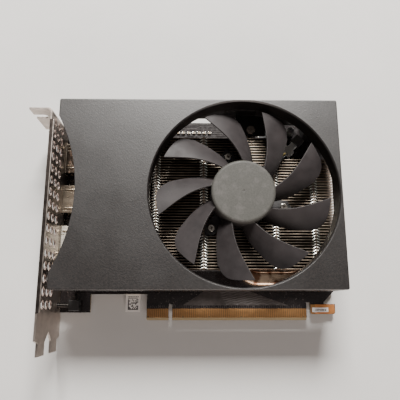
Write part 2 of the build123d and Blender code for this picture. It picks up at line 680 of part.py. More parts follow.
def make_shroud():
    """Moulded cover: hollowed plate, duct round the fan, side walls, posts and a screw ear."""
    plate = block(SHROUD_X, SHROUD_Y, (SHROUD_TOP - SHROUD_T, SHROUD_TOP))
    corners = [(x, y) for x in SHROUD_X for y in SHROUD_Y]
    shroud = plate
    under = SHROUD_TOP - SHROUD_T
    shroud += block(SHROUD_X, (SHROUD_Y[0], SHROUD_Y[0] + WALL_T), (WALL_BOTTOM, under))
    shroud += block(SHROUD_X, (SHROUD_Y[1] - WALL_T, SHROUD_Y[1]), (WALL_BOTTOM, under))
    shroud += block((SHROUD_X[1] - WALL_T, SHROUD_X[1]), SHROUD_Y, (22.0, under))
    shroud = fillet(upright_edges_at(shroud, corners), 1.0)
    shroud = fillet(shroud.faces().sort_by(Axis.Z)[-1].edges(), 0.5)
    shroud += rod(OPENING_X, OPENING_Y, OPENING_R + DUCT_T, (DUCT_BOTTOM, under))
    shroud -= rod(OPENING_X, OPENING_Y, OPENING_R, (DUCT_BOTTOM - 1, SHROUD_TOP + 1))
    shroud -= rod(HOLLOW_X, HOLLOW_Y, HOLLOW_R, (under - 1, SHROUD_TOP + 1))
    bevel = Cone(OPENING_R, OPENING_R + 0.7, 0.7)
    shroud -= Pos(OPENING_X, OPENING_Y, SHROUD_TOP - 0.35) * bevel
    for x, y in POSTS:
        shroud += rod(x, y, 3.2, (0, under + 0.5)) - rod(x, y, 1.2, (-1, 8))
    x, y = FRONT_SCREW
    left, right = x - SCREW_EAR_HALF, x + SCREW_EAR_HALF
    shroud += block((left, right), (y - 2.8, SHROUD_Y[1] - WALL_T + 0.2), (14.9, 16.6))
    shroud += block((left, left + WALL_T), (y + 2, SHROUD_Y[1] - WALL_T + 0.2), (16.6, EAR_RIB_TOP))
    shroud += block((right - WALL_T, right), (y + 2, SHROUD_Y[1] - WALL_T + 0.2), (16.6, EAR_RIB_TOP))
    shroud -= rod(x, y, 1.35, (14, 18))
    return shroud


def make_labels():
    """Plain stickers: one flying off the board's lower edge, one on the hook."""
    flag = block((-11.4, -3.6), (4.2, 16.0), (-BOARD_T - 0.15, -BOARD_T))
    hook = block((88.0, 96.7), (4.1, 6.5), (PLATING_T, PLATING_T + 0.1))
    return flag, hook


def main():
    save("board", make_board())
    save("edge_contacts", *make_edge_contacts())
    package, die = make_graphics_processor()
    save("processor_package", package)
    save("processor_die", die)
    chips, pads = make_memory()
    save("memory_chips", *chips)
    save("thermal_pads", *pads)
    chokes, transistors, cans = make_power_stages()
    save("power_chokes", *chokes)
    save("power_transistors", *transistors)
    save("can_capacitors", *cans)
    ceramics, small_chips = make_small_parts()
    save("ceramic_capacitors", *ceramics)
    save("controller_chips", *small_chips)
    socket, pins = make_power_socket()
    save("power_socket", socket)
    save("power_socket_pins", *pins)

    save("slot_bracket", make_slot_bracket())
    blocks, screws = make_bracket_fixings()
    save("bracket_blocks", *blocks)
    save("bracket_screws", *screws)
    inserts = []
    contacts = []
    for place, (centre, width) in PORTS.items():
        shell, insert, pads_in_port = make_video_port(centre, width)
        save(f"{place}_video_port", shell)
        inserts.append(insert)
        contacts += pads_in_port
    save("video_port_inserts", *inserts)
    save("video_port_contacts", *contacts)

    save("cooler_base", make_cooler_base())
    save("heat_pipes", *make_heat_pipes())
    save("fin_stack", *make_fin_stack())
    posts, spacers = make_cooler_fixings()
    save("cooler_posts", *posts)
    save("mount_spacers", *spacers)
    plate, film, screws = make_retention()
    save("retention_plate", plate)
    save("retention_film", film)
    save("retention_screws", *screws)

    save("fan_rotor", make_fan_rotor())
    yoke, magnet, shaft = make_rotor_inside()
    save("rotor_yoke", yoke)
    save("rotor_magnet", magnet)
    save("fan_shaft", shaft)
    save("fan_base", make_fan_base())
    laminations, coils, fan_board = make_stator()
    save("stator_core", laminations)
    save("stator_coils", *coils)
    save("fan_circuit_board", fan_board)
    sleeve, pad = make_bearing()
    save("sleeve_bearing", sleeve)
    save("thrust_pad", pad)
    save("fan_screws", *[screw(x, y, FAN_BASE_Z[1], 1.85, 1.2, 1.15, 7.0) for x, y in STANDOFFS])
    header, plug = make_fan_plug()
    save("fan_header", header)
    save("fan_plug", plug)
    for index, colour in enumerate(WIRES):
        save(f"{colour}_fan_wire", make_wire(index))

    save("shroud", make_shroud())
    save("shroud_screws", *[screw(x, y, -BOARD_T, 2.5, 1.6, 1.15, 8.0, up=False) for x, y in POSTS])
    save("shroud_front_screw", screw(*FRONT_SCREW, 16.6, 2.4, 1.5, 1.15, 8.0))
    flag, hook = make_labels()
    save("flag_label", flag)
    save("hook_label", hook)


main()
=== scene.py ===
"""Graphics card: materials, surface detail, camera and light around the CAD frame."""
import json
import math
import random

import bmesh
import bpy
from mathutils import Euler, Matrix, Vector


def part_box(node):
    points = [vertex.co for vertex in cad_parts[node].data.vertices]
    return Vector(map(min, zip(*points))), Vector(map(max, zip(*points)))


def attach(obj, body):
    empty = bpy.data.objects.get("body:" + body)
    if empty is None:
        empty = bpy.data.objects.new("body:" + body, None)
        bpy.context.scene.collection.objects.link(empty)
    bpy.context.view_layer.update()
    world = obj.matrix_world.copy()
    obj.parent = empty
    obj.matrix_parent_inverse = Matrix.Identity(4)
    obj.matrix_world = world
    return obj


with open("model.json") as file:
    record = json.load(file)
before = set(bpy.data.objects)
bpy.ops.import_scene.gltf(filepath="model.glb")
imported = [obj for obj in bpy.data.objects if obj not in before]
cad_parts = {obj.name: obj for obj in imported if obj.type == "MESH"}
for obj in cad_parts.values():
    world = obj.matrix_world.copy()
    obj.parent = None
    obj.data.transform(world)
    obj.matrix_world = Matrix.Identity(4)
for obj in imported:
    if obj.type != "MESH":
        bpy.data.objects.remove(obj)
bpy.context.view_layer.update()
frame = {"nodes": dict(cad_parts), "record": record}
MM = 0.001
NODES = frame["nodes"]
random.seed(7)

# Card coordinates in millimetres: X from the first edge contact, Y from the contact edge,
# Z from the board's component face. The board's own box gives their origin.
board_low, board_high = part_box("board")
ORIGIN = Vector((board_low.x + 45.9 * MM, board_low.y, board_high.z))
BOARD_BACK = -1.57
CONTACTS_TOP = 6.0
CONTACT_PITCH = 1.0
CONTACT_COUNT = 82
EAR_EDGE = -1.0
HOOK_LEFT = 90.0
BRACKET_INNER = -46.3
FLANGE_EDGE = -45.2
FLANGE_Y = (4.2, 98.4)
VENT_TOP_Y = 99.35
VENT_PITCH = 6.1
VENT_ROWS = 16
VENT_COLUMNS_Z = (16.0, 22.1, 28.2)
CAN_FOOT_TOP = 1.02
FIN_START_Y = 25.6
FIN_PITCH = 1.49
FIN_COUNT = 48
FIN_CLIP_X = (5.1, 30.0, 67.5, 88.0)
FIN_CORNER = (69.0, 84.0)
FAN_X, FAN_Y = 49.4, 62.8
HUB_R = 16.2
STANDOFF_R = 22.75
STANDOFF_ANGLES = (-13.5, 106.5, 226.5)
OPENING_X, OPENING_Y, OPENING_R = 49.5, 62.5, 46.9
HOLLOW_X, HOLLOW_Y, HOLLOW_R = -114.8, 61.7, 81.6
SHROUD_T = 1.8
SKIRT_X = (66.0, 83.0)
SKIRT_Z = (3.0, 12.2)


def at_node(name):
    """A node's limits in card coordinates: (low, high)."""
    low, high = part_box(name)
    return (low - ORIGIN) / MM, (high - ORIGIN) / MM


# ---------------------------------------------------------------- shaders

class Shader:
    """A material's node tree, with short calls for the nodes used here."""

    def __init__(self, name, color, rough, metal=0.0, **sockets):
        self.material = bpy.data.materials.new(name)
        self.material.use_nodes = True
        self.tree = self.material.node_tree
        self.bsdf = self.tree.nodes["Principled BSDF"]
        self.bsdf.inputs["Base Color"].default_value = (*color, 1.0)
        self.bsdf.inputs["Roughness"].default_value = rough
        self.bsdf.inputs["Metallic"].default_value = metal
        for key, value in sockets.items():
            self.bsdf.inputs[key.replace("_", " ")].default_value = value
        self.color = color
        self.coords = self.node("ShaderNodeTexCoord").outputs["Object"]

    def node(self, kind, **settings):
        made = self.tree.nodes.new(kind)
        for key, value in settings.items():
            setattr(made, key, value)
        return made

    def link(self, a, b):
        self.tree.links.new(a, b)

    def stretched(self, scale, turn=(0, 0, 0)):
        """Object coordinates stretched along the axes."""
        mapping = self.node("ShaderNodeMapping")
        mapping.inputs["Scale"].default_value = scale
        mapping.inputs["Rotation"].default_value = turn
        self.link(self.coords, mapping.inputs["Vector"])
        return mapping.outputs["Vector"]

    def position(self):
        """The X, Y and Z sockets of the object coordinates."""
        split = self.node("ShaderNodeSeparateXYZ")
        self.link(self.coords, split.inputs[0])
        return split.outputs

    def away(self, x, y):
        """Distance in plan from an upright axis, in metres."""
        place = self.position()
        across = self.math("POWER", self.math("SUBTRACT", place["X"], x), 2.0)
        along = self.math("POWER", self.math("SUBTRACT", place["Y"], y), 2.0)
        return self.math("SQRT", self.math("ADD", across, along))

    def noise(self, size, detail=3.0, rough=0.55, vector=None):
        """Noise whose features are about size metres across."""
        tex = self.node("ShaderNodeTexNoise")
        tex.inputs["Scale"].default_value = 1.0 / size
        tex.inputs["Detail"].default_value = detail
        tex.inputs["Roughness"].default_value = rough
        self.link(vector or self.coords, tex.inputs["Vector"])
        return tex.outputs["Fac"]

    def cells(self, size):
        """Distance to the nearest of scattered points about size metres apart."""
        tex = self.node("ShaderNodeTexVoronoi")
        tex.inputs["Scale"].default_value = 1.0 / size
        self.link(self.coords, tex.inputs["Vector"])
        return tex.outputs["Distance"]

    def remap(self, value, low, high, to_low, to_high):
        ramp = self.node("ShaderNodeMapRange")
        for key, number in zip(("From Min", "From Max", "To Min", "To Max"), (low, high, to_low, to_high)):
            ramp.inputs[key].default_value = number
        self.link(value, ramp.inputs["Value"])
        return ramp.outputs["Result"]

    def math(self, operation, a, b=0.0):
        calc = self.node("ShaderNodeMath", operation=operation)
        for socket, value in zip(calc.inputs, (a, b)):
            if isinstance(value, (int, float)):
                socket.default_value = value
            else:
                self.link(value, socket)
        return calc.outputs[0]

    def mix(self, factor, a, b):
        """Colour mix; a and b are colours or sockets. The node's colour sockets are 6, 7 and 2."""
        blend = self.node("ShaderNodeMix", data_type="RGBA")
        self.link(factor, blend.inputs["Factor"])
        for socket, value in ((blend.inputs[6], a), (blend.inputs[7], b)):
            if isinstance(value, tuple):
                socket.default_value = (*value, 1.0)
            else:
                self.link(value, socket)
        return blend.outputs[2]

    def shade(self, factor, dark=0.75, light=1.2, low=0.3, high=0.7):
        """Colour variation about the base colour."""
        a = tuple(c * dark for c in self.color)
        b = tuple(min(1.0, c * light) for c in self.color)
        return self.mix(self.remap(factor, low, high, 0.0, 1.0), a, b)

    def set_color(self, socket):
        self.link(socket, self.bsdf.inputs["Base Color"])

    def set_rough(self, factor, low, high):
        self.link(self.remap(factor, 0.3, 0.7, low, high), self.bsdf.inputs["Roughness"])

    def bump(self, height, distance, strength=1.0):
        """Adds a bump layer on top of the earlier ones."""
        made = self.node("ShaderNodeBump")
        made.inputs["Distance"].default_value = distance
        made.inputs["Strength"].default_value = strength
        self.link(height, made.inputs["Height"])
        normal = self.bsdf.inputs["Normal"]
        if normal.is_linked:
            self.link(normal.links[0].from_socket, made.inputs["Normal"])
        self.link(made.outputs["Normal"], normal)

    def rounded(self, radius):
        """Soft edges; call it before any bump."""
        bevel = self.node("ShaderNodeBevel", samples=6)
        bevel.inputs["Radius"].default_value = radius
        self.link(bevel.outputs["Normal"], self.bsdf.inputs["Normal"])
        return bevel.outputs["Normal"]

    def normal_part(self, axis):
        """One part of the true surface normal."""
        geometry = self.node("ShaderNodeNewGeometry")
        split = self.node("ShaderNodeSeparateXYZ")
        self.link(geometry.outputs["True Normal"], split.inputs[0])
        return split.outputs[axis]

    def edge_mask(self, normal, low=0.01, high=0.2):
        """1 on edges that the rounded normal bends, 0 on flats."""
        geometry = self.node("ShaderNodeNewGeometry")
        dot = self.node("ShaderNodeVectorMath", operation="DOT_PRODUCT")
        self.link(normal, dot.inputs[0])
        self.link(geometry.outputs["True Normal"], dot.inputs[1])
        return self.remap(self.math("SUBTRACT", 1.0, dot.outputs["Value"]), low, high, 0.0, 1.0)


def metal(name, color, rough, grain=0.0004, depth=0.000004, stretch=(1, 1, 1), spread=0.08, edge=0.0001):
    """Rolled or plated metal: fine directional grain, cloudy roughness and slight stains."""
    s = Shader(name, color, rough, 1.0)
    s.rounded(edge)
    s.set_color(s.shade(s.noise(0.004, 4), 0.86, 1.08))
    s.set_rough(s.noise(0.0018, 5, vector=s.stretched(stretch)), max(rough - spread, 0.05), rough + spread)
    s.bump(s.noise(grain, 3, vector=s.stretched(stretch)), depth, 0.6)
    return s.material


def plastic(name, color, rough, grain=0.00025, depth=0.00001, spread=0.07, edge=0.00015, **sockets):
    """Moulded plastic: fine spark-eroded grain, faint flow marks and worn edges."""
    s = Shader(name, color, rough, **sockets)
    bent = s.rounded(edge)
    body = s.shade(s.noise(0.006, 3), 0.88, 1.14)
    wear_and_edge_highlight = tuple(min(1.0, c * 1.5 + 0.01) for c in color)
    s.set_color(s.mix(s.math("MULTIPLY", s.edge_mask(bent), s.noise(0.002, 2)), body, wear_and_edge_highlight))
    s.set_rough(s.noise(0.003, 4), rough - spread, rough + spread)
    s.bump(s.noise(grain, 2), depth, 0.5)
    return s.material


def shroud_paint():
    """Fine sand-textured matte black paint; its edges are lightened partly by scuffing and partly as a
    painted highlight, and the duct's wall is painted darker as painted shade.
    """
    s = Shader("shroud_paint", (0.008, 0.0062, 0.0056), 0.42, Specular_IOR_Level=1.0)
    bent = s.rounded(0.0003)
    speckle = s.noise(0.0011, 4, 0.8)
    body = s.shade(speckle, 0.25, 2.6, 0.36, 0.66)
    away = s.away(ORIGIN.x + OPENING_X * MM, ORIGIN.y + OPENING_Y * MM)
    # Inside the opening the duct's wall gets a darker colour and a weaker specular: painted shade in the
    # duct.
    outside = s.remap(away, (OPENING_R + 0.05) * MM, (OPENING_R + 0.12) * MM, 0.0, 1.0)
    # Lighter edges: partly scuffed paint, partly a painted highlight along the edges.
    rubbed_and_highlight = s.math("MULTIPLY", s.edge_mask(bent), s.remap(s.noise(0.003, 3), 0.35, 0.6, 0.2, 1.0))
    s.set_color(s.mix(outside, (0.004, 0.0032, 0.003), s.mix(rubbed_and_highlight, body, (0.10, 0.095, 0.10))))
    s.link(s.remap(outside, 0.0, 1.0, 0.3, 0.85), s.bsdf.inputs["Specular IOR Level"])
    s.set_rough(s.noise(0.014, 3), 0.39, 0.45)
    s.bump(s.noise(0.0008, 3, 0.7), 0.00008, 0.6)
    s.bump(s.cells(0.0005), 0.00004, 0.5)
    return s.material


def rotor_plastic():
    """Satin dark plastic; the hub's cap is greyer and finely grained, the blades slightly brown; the edges
    are lightened as a painted highlight and the cap's grey fades down the hub's side wall as painted
    light.
    """
    s = Shader("rotor_plastic", (0.030, 0.0255, 0.026), 0.58, Specular_IOR_Level=0.28)
    bent = s.rounded(0.0003)
    hub_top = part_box("fan_rotor")[1].z
    axis = (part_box("fan_shaft")[0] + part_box("fan_shaft")[1]) / 2
    hub = s.remap(s.away(axis.x, axis.y), HUB_R * MM, (HUB_R + 0.6) * MM, 1.0, 0.0)
    # The cap's grey runs down the hub's side wall and fades lower down: painted light on the side wall.
    height = s.remap(s.position()["Z"], hub_top - 0.005, hub_top - 0.0008, 0.15, 1.0)
    cap = s.math("MULTIPLY", hub, height)
    blade = s.shade(s.noise(0.008, 3), 0.8, 1.25)
    grain = s.mix(s.noise(0.0007, 4, 0.75), (0.032, 0.033, 0.028), (0.112, 0.108, 0.099))
    handled = s.remap(s.noise(0.004, 3, 0.6), 0.50, 0.72, 0.0, 0.6)
    grey = s.mix(handled, grain, (0.122, 0.113, 0.108))
    # Lighter blade and hub edges: a painted highlight along the rounded edges.
    wear_and_edge_highlight = s.math("MULTIPLY", s.edge_mask(bent), s.remap(s.noise(0.002, 2), 0.3, 0.6, 0.4, 1.0))
    s.set_color(s.mix(wear_and_edge_highlight, s.mix(cap, blade, grey), (0.16, 0.15, 0.145)))
    s.set_rough(s.noise(0.004, 4), 0.50, 0.64)
    s.bump(s.noise(0.0007, 3, 0.6), 0.00003, 0.4)
    return s.material


def board_mask():
    """Glossy black solder mask; bare laminate between the contacts and glass fibre on the cut edges."""
    s = Shader("board_mask", (0.015, 0.012, 0.012), 0.22, Coat_Weight=0.3)
    s.rounded(0.00008)
    flat = s.remap(s.math("ABSOLUTE", s.normal_part("Z")), 0.965, 0.985, 0.0, 1.0)
    weave = s.noise(0.0005, 3, vector=s.stretched((1, 1, 3)))
    glass = s.mix(weave, (0.30, 0.22, 0.12), (0.48, 0.38, 0.22))
    mask = s.shade(s.noise(0.003, 3), 0.8, 1.5)
    place = s.position()
    line = ORIGIN.y + CONTACTS_TOP * MM
    above = s.remap(place["Y"], line - 0.1 * MM, line, 0.0, 1.0)
    ear_edge = ORIGIN.x + EAR_EDGE * MM
    ear = s.remap(place["X"], ear_edge - 0.1 * MM, ear_edge, 1.0, 0.0)
    masked = s.math("MAXIMUM", above, ear)
    bare = s.mix(weave, (0.20, 0.115, 0.05), (0.27, 0.165, 0.08))
    s.set_color(s.mix(flat, glass, s.mix(masked, bare, mask)))
    s.set_rough(s.noise(0.002, 4), 0.16, 0.30)
    s.bump(s.noise(0.0007, 2), 0.000008, 0.5)
    return s.material


def nickel_plate():
    """Nickel on rolled steel: clouded; its edges are lightened partly as bare sheared metal and partly as
    a painted highlight; the flange's upward face is painted dark as a painted reflection.
    """
    s = Shader("nickel_plate", (0.54, 0.47, 0.42), 0.38, 1.0)
    bent = s.rounded(0.00012)
    cloud = s.shade(s.noise(0.005, 5, 0.65), 0.8, 1.1)
    place = s.position()
    # The flange's upward face is painted dark: a painted reflection.
    upward = s.remap(s.normal_part("Z"), 0.8, 0.9, 0.0, 1.0)
    start, end = ORIGIN.y + FLANGE_Y[0] * MM, ORIGIN.y + FLANGE_Y[1] * MM
    below_bend = s.remap(place["Y"], end, end + 0.4 * MM, 1.0, 0.0)
    above_end = s.remap(place["Y"], start - 0.6 * MM, start, 0.0, 1.0)
    side = ORIGIN.x + (FLANGE_EDGE - 0.3) * MM
    outside = s.remap(place["X"], side - 0.2 * MM, side, 1.0, 0.0)
    span = s.math("MULTIPLY", above_end, outside)
    flange = s.math("MULTIPLY", s.math("MULTIPLY", upward, below_bend), span)
    # Lighter edges: partly bare sheared metal, partly a painted highlight.
    plated = s.mix(s.edge_mask(bent), cloud, (0.86, 0.83, 0.78))
    painted_dark_reflection = s.mix(s.noise(0.002, 4), (0.03, 0.025, 0.022), (0.12, 0.10, 0.09))
    s.set_color(s.mix(flange, plated, painted_dark_reflection))
    s.set_rough(s.noise(0.003, 5, 0.65), 0.30, 0.46)
    s.bump(s.noise(0.003, 3), 0.00003, 0.3)
    s.bump(s.noise(0.0003, 3, vector=s.stretched((1, 0.15, 1))), 0.000006, 0.5)
    return s.material


def gold_plating():
    """Hard gold over nickel: dulled by use on the contacts, full-coloured on the hook."""
    s = Shader("gold_plating", (0.56, 0.29, 0.115), 0.5, 1.0)
    s.rounded(0.0001)
    hook = ORIGIN.x + HOOK_LEFT * MM
    unworn = s.remap(s.position()["X"], hook - 0.5 * MM, hook, 0.0, 1.0)
    s.set_color(s.mix(unworn, s.shade(s.noise(0.004, 4), 0.88, 1.06), (0.92, 0.40, 0.15)))
    s.set_rough(s.noise(0.0018, 5), 0.42, 0.58)
    s.bump(s.noise(0.0003, 3), 0.00001, 0.6)
    return s.material


def fin_aluminium():
    """Thin rolled sheet: bright sheared top edges; the faces below are painted with shade that deepens
    downwards between the fins.
    """
    s = Shader("fin_aluminium", (0.78, 0.64, 0.51), 0.34, 1.0)
    height = s.position()["Z"]
    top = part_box("fin_stack")[1].z
    edge = s.remap(height, top - 0.0011, top - 0.0003, 0.0, 1.0)
    # Below the top edges the faces darken downwards: painted shade in the gaps between the fins.
    raised = s.remap(height, top - 0.009, top - 0.0011, 0.0, 1.0)
    painted_gap_shade = s.mix(raised, (0.06, 0.038, 0.031), (0.34, 0.26, 0.20))
    s.set_color(s.mix(edge, painted_gap_shade, s.shade(s.noise(0.007, 4, 0.6), 0.45, 1.1)))
    s.set_rough(s.noise(0.001, 4, vector=s.stretched((0.15, 1, 1))), 0.30, 0.50)
    s.bump(s.noise(0.0004, 3, vector=s.stretched((0.1, 1, 1))), 0.00002, 0.5)
    return s.material


def aged_copper():
    """Copper pipe: aged dark brown, broken by brighter patches that are partly scuffed bare copper and
    partly a painted highlight.
    """
    s = Shader("copper", (0.80, 0.46, 0.30), 0.22, 1.0)
    s.rounded(0.0006)
    # Bright patches: partly scuffed bare copper, partly a painted highlight.
    rubbed_and_highlight = s.remap(s.noise(0.007, 3, 0.5), 0.41, 0.52, 0.0, 1.0)
    s.set_color(s.mix(rubbed_and_highlight, (0.30, 0.155, 0.095), (1.0, 0.75, 0.54)))
    s.set_rough(s.noise(0.002, 4), 0.26, 0.44)
    s.bump(s.noise(0.002, 3), 0.00001, 0.5)
    return s.material


def capacitor_can():
    """Drawn aluminium can on a black moulded foot."""
    s = Shader("capacitor_can", (0.74, 0.73, 0.71), 0.3, 1.0)
    s.rounded(0.0001)
    foot_top = ORIGIN.z + CAN_FOOT_TOP * MM
    can = s.remap(s.position()["Z"], foot_top - 0.00003, foot_top + 0.00003, 0.0, 1.0)
    s.set_color(s.mix(can, (0.02, 0.02, 0.02), (0.74, 0.73, 0.71)))
    s.link(can, s.bsdf.inputs["Metallic"])
    s.set_rough(s.noise(0.001, 4), 0.24, 0.42)
    s.bump(s.noise(0.0003, 3, vector=s.stretched((1, 1, 0.1))), 0.000006, 0.5)
    return s.material


def wire(name, color):
    """Soft insulation with a slight ripple."""
    s = Shader(name, color, 0.38, Coat_Weight=0.2)
    s.set_color(s.shade(s.noise(0.002, 3), 0.85, 1.1))
    s.bump(s.noise(0.0006, 3), 0.00002, 0.5)
    return s.material


def label_paper():
    """White sticker stock with faint fibres."""
    s = Shader("label_paper", (0.96, 0.93, 0.90), 0.5)
    s.set_color(s.shade(s.noise(0.0008, 4), 0.93, 1.03))
    s.bump(s.noise(0.0002, 3), 0.000008, 0.4)
    return s.material


def print_ink():
    """Slightly glossy black print."""
    s = Shader("print_ink", (0.03, 0.025, 0.025), 0.4)
    s.set_color(s.shade(s.noise(0.0003, 3), 0.7, 2.2))
    s.bump(s.noise(0.0002, 2), 0.000003, 0.4)
    return s.material


def copper_trace_and_sheen():
    """Solder mask where it runs over copper: a shade lighter and glossier than the bare board; on the
    patch above the contacts the lighter tone is a painted sheen.
    """
    s = Shader("copper_trace_and_sheen", (0.058, 0.049, 0.046), 0.45, Specular_IOR_Level=0.35)
    s.set_color(s.shade(s.noise(0.002, 3), 0.8, 1.3))
    s.bump(s.noise(0.0004, 2), 0.000005, 0.5)
    return s.material


# By material slot; the last group are finishes of their own.
MATERIALS = {
    "board_mask": board_mask(),
    "gold_plating": gold_plating(),
    "chip_substrate": plastic("chip_substrate", (0.03, 0.09, 0.045), 0.35),
    "silicon": metal("silicon", (0.16, 0.17, 0.20), 0.12),
    "chip_resin": plastic("chip_resin", (0.022, 0.022, 0.023), 0.5, 0.0002, 0.00002),
    "thermal_pad": plastic("thermal_pad", (0.32, 0.35, 0.42), 0.75, 0.0004, 0.00003),
    "choke_ferrite": plastic("choke_ferrite", (0.11, 0.11, 0.112), 0.6, 0.0002, 0.00004),
    "capacitor_can": capacitor_can(),
    "capacitor_ceramic": plastic("capacitor_ceramic", (0.36, 0.26, 0.17), 0.4, edge=0.0001),
    "socket_black": plastic("socket_black", (0.018, 0.018, 0.018), 0.42),
    "pin_metal": metal("pin_metal", (0.78, 0.75, 0.68), 0.24),
    "nickel_plate": nickel_plate(),
    "black_block": plastic("black_block", (0.03, 0.03, 0.03), 0.4),
    "screw_black": metal("screw_black", (0.24, 0.20, 0.17), 0.34),
    "port_shell": metal("port_shell", (0.50, 0.43, 0.34), 0.32, 0.0005, 0.000003, (0.2, 1, 1), 0.05),
    "cooler_aluminium": metal("cooler_aluminium", (0.62, 0.61, 0.60), 0.38, 0.0003, 0.00001, (0.1, 1, 1)),
    "copper": aged_copper(),
    "fin_aluminium": fin_aluminium(),
    "spring_steel": metal("spring_steel", (0.06, 0.06, 0.062), 0.42),
    "insulating_film": plastic("insulating_film", (0.02, 0.02, 0.02), 0.35),
    "rotor_plastic": rotor_plastic(),
    "yoke_steel": metal("yoke_steel", (0.55, 0.55, 0.56), 0.3),
    "magnet_ferrite": plastic("magnet_ferrite", (0.06, 0.06, 0.065), 0.6),
    "fan_base_plastic": plastic("fan_base_plastic", (0.032, 0.030, 0.030), 0.5),
    "core_steel": metal("core_steel", (0.3, 0.3, 0.32), 0.4, 0.0002, 0.00001, (0.2, 0.2, 4)),
    "coil_copper": metal("coil_copper", (0.60, 0.24, 0.10), 0.3, 0.0002, 0.00003, (0.2, 0.2, 3)),
    "fan_board": plastic("fan_board", (0.02, 0.12, 0.05), 0.3),
    "sintered_bronze": metal("sintered_bronze", (0.42, 0.30, 0.17), 0.5),
    "white_plastic": plastic("white_plastic", (0.90, 0.90, 0.87), 0.38),
    "screw_bright": metal("screw_bright", (0.82, 0.78, 0.70), 0.26),
    "wire_black": wire("wire_black", (0.02, 0.02, 0.02)),
    "wire_yellow": wire("wire_yellow", (0.55, 0.42, 0.12)),
    "wire_green": wire("wire_green", (0.06, 0.33, 0.13)),
    "wire_blue": wire("wire_blue", (0.08, 0.16, 0.45)),
    "shroud_paint": shroud_paint(),
    "label_paper": label_paper(),

    # A brighter copy of the fin metal for the fin clips: a painted highlight.
    "clip_painted_highlight": metal("clip_painted_highlight", (0.97, 0.93, 0.86), 0.38, 0.0005),
    "header_grey": plastic("header_grey", (0.13, 0.125, 0.12), 0.42),
    # Lighter ridges of the length-matched tracks: partly the tracks' own tone, partly a painted sheen.
    "trace_ridge_and_sheen": plastic("trace_ridge_and_sheen", (0.085, 0.075, 0.07), 0.4, Specular_IOR_Level=0.4),
    "port_mirror": metal("port_mirror", (0.50, 0.43, 0.36), 0.13, 0.002, 0.00002, spread=0.05),
    # A bright cream copy of the port metal for the lower port: a painted reflection on its shell.
    "port_painted_reflection": metal("port_painted_reflection", (0.92, 0.88, 0.78), 0.5, 0.0004, 0.000003),
    # Vent walls: a brighter, pinker copy of the plate metal, partly bare sheared metal and partly a
    # painted highlight.
    "vent_wall_and_highlight": metal("vent_wall_and_highlight", (0.60, 0.49, 0.44), 0.42),
    "black_oxide": metal("black_oxide", (0.045, 0.042, 0.04), 0.36),
    "print_ink": print_ink(),
    "copper_trace_and_sheen": copper_trace_and_sheen(),
}


# Nodes whose finish differs from their slot's usual one; the lower port's brighter shell is a painted
# reflection.
FINISHES = {
    "bracket_screws": "black_oxide",
    "upper_video_port": "port_mirror",
    "lower_video_port": "port_painted_reflection",
    "fan_header": "header_grey",
    "green_fan_wire": "wire_green",
}
for part in frame["record"]["subparts"]:
    mesh = NODES[part["node"]].data
    mesh.materials.clear()
    mesh.materials.append(MATERIALS[FINISHES.get(part["node"], part["material_slot"])])


# ---------------------------------------------------------------- mesh pieces

